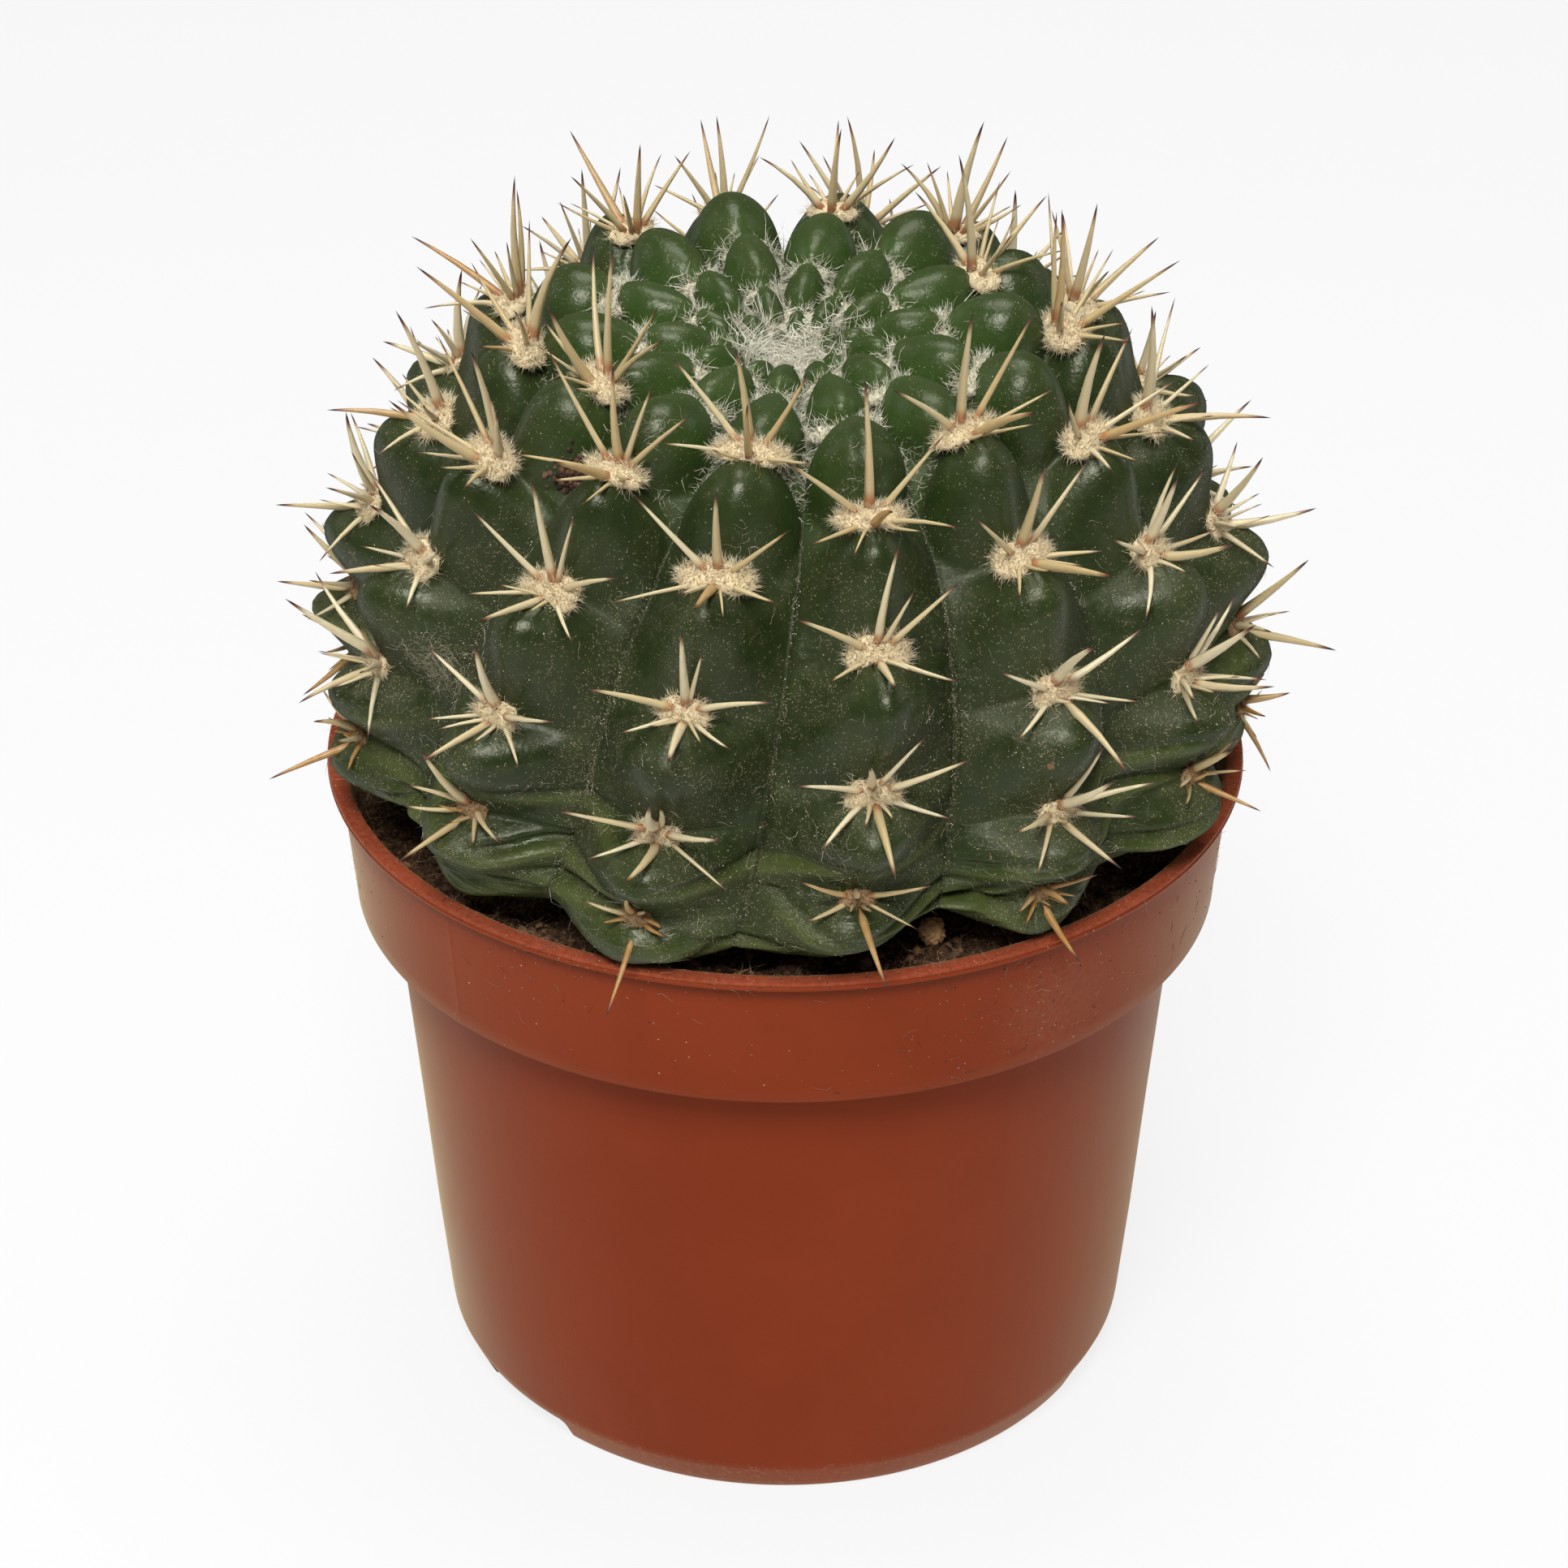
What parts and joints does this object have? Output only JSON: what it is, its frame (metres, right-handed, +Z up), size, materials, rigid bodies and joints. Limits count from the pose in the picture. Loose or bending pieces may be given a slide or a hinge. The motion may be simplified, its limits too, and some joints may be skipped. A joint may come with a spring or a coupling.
{
  "type": "potted round cactus",
  "caption": "Low round ribbed cactus with a woolly crown and clusters of pale spines, growing in peat in a terracotta-coloured plastic nursery pot with a collar.",
  "frame": {"origin": "middle of the pot's flat base, on the surface it stands on", "axes": "+Z up along the pot's axis; -Y is the side the plant leans towards and shows best; +X to the right as seen from there"},
  "size_m": [0.1375, 0.1369, 0.168],
  "materials": {
    "pot_plastic": "terracotta brown, semi-matte",
    "peat": "dark, damp, crumbly",
    "cactus_skin": "dark green, waxy, semi-gloss"
  },
  "bodies": {
    "root": {"pot": "pot_plastic", "soil": "peat", "cactus": "cactus_skin"}
  },
  "joints": []
}
